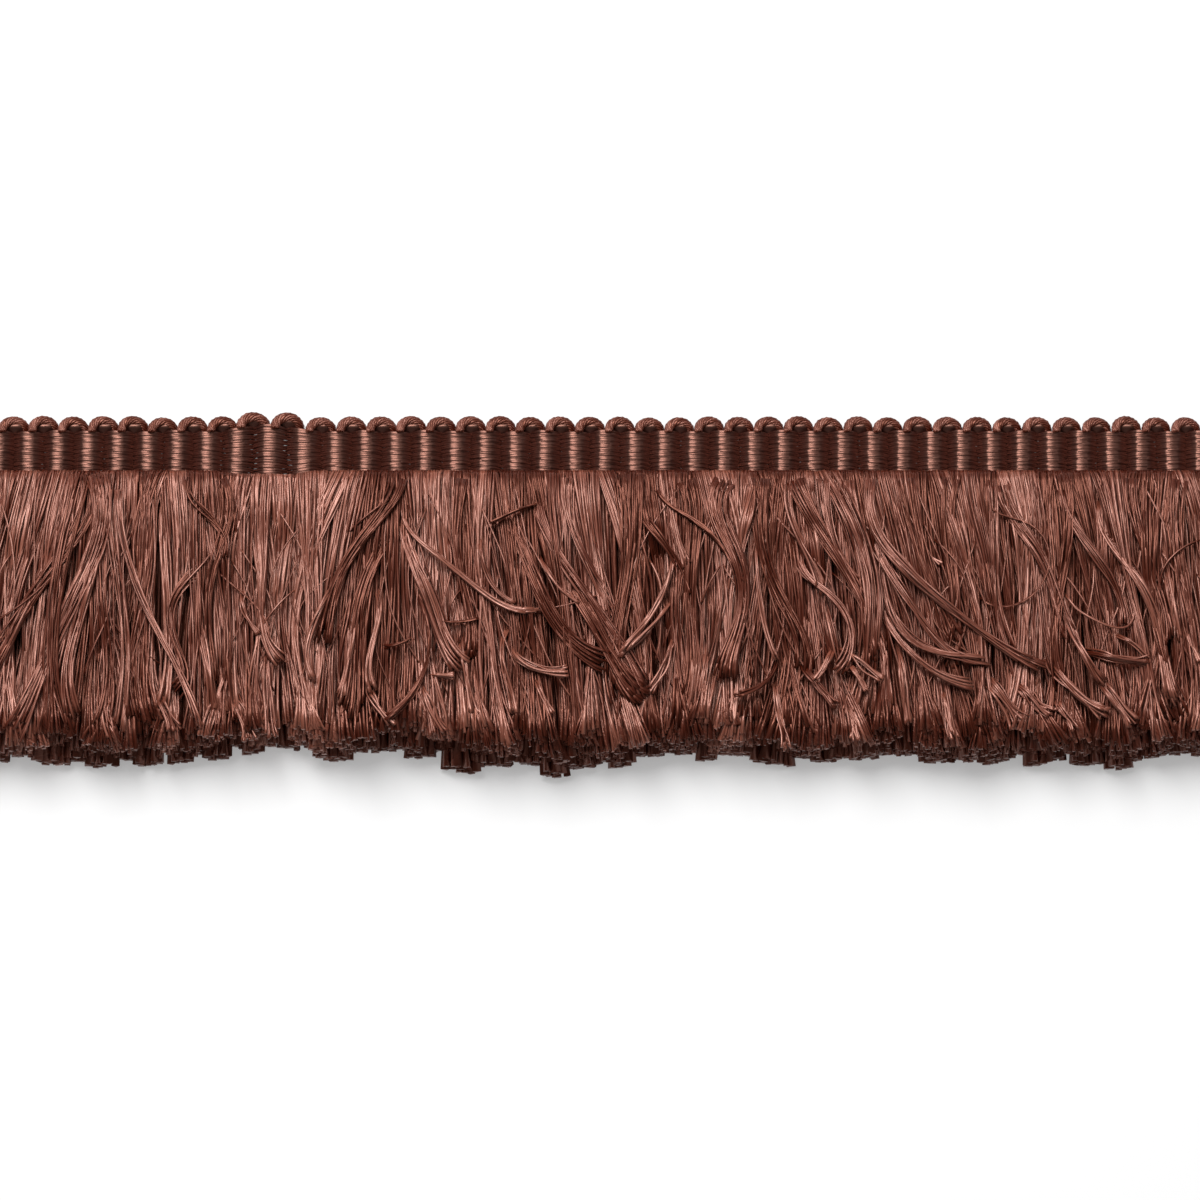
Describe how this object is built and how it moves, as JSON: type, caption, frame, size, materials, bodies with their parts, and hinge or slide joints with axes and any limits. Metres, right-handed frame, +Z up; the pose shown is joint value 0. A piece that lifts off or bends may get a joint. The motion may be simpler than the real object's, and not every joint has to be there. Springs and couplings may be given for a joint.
{
  "type": "brush fringe trim",
  "caption": "Cut length of brush fringe trim: a narrow ribbed woven heading with a looped upper edge, and a dense skirt of cut floss yarn.",
  "frame": {"origin": "centre of the bounding box at its bottom, on the surface that the trim lies on", "axes": "+X along the trim, +Y from the cut yarn ends to the looped edge of the heading, +Z up out of the trim's face"},
  "size_m": [0.144, 0.0396, 0.0068],
  "materials": {
    "heading": "woven viscose yarn, ribbed, with a soft silky sheen",
    "brush": "cut viscose floss, combed, with a silky sheen"
  },
  "bodies": {
    "root": {"heading": "heading", "brush": "brush"}
  },
  "joints": []
}
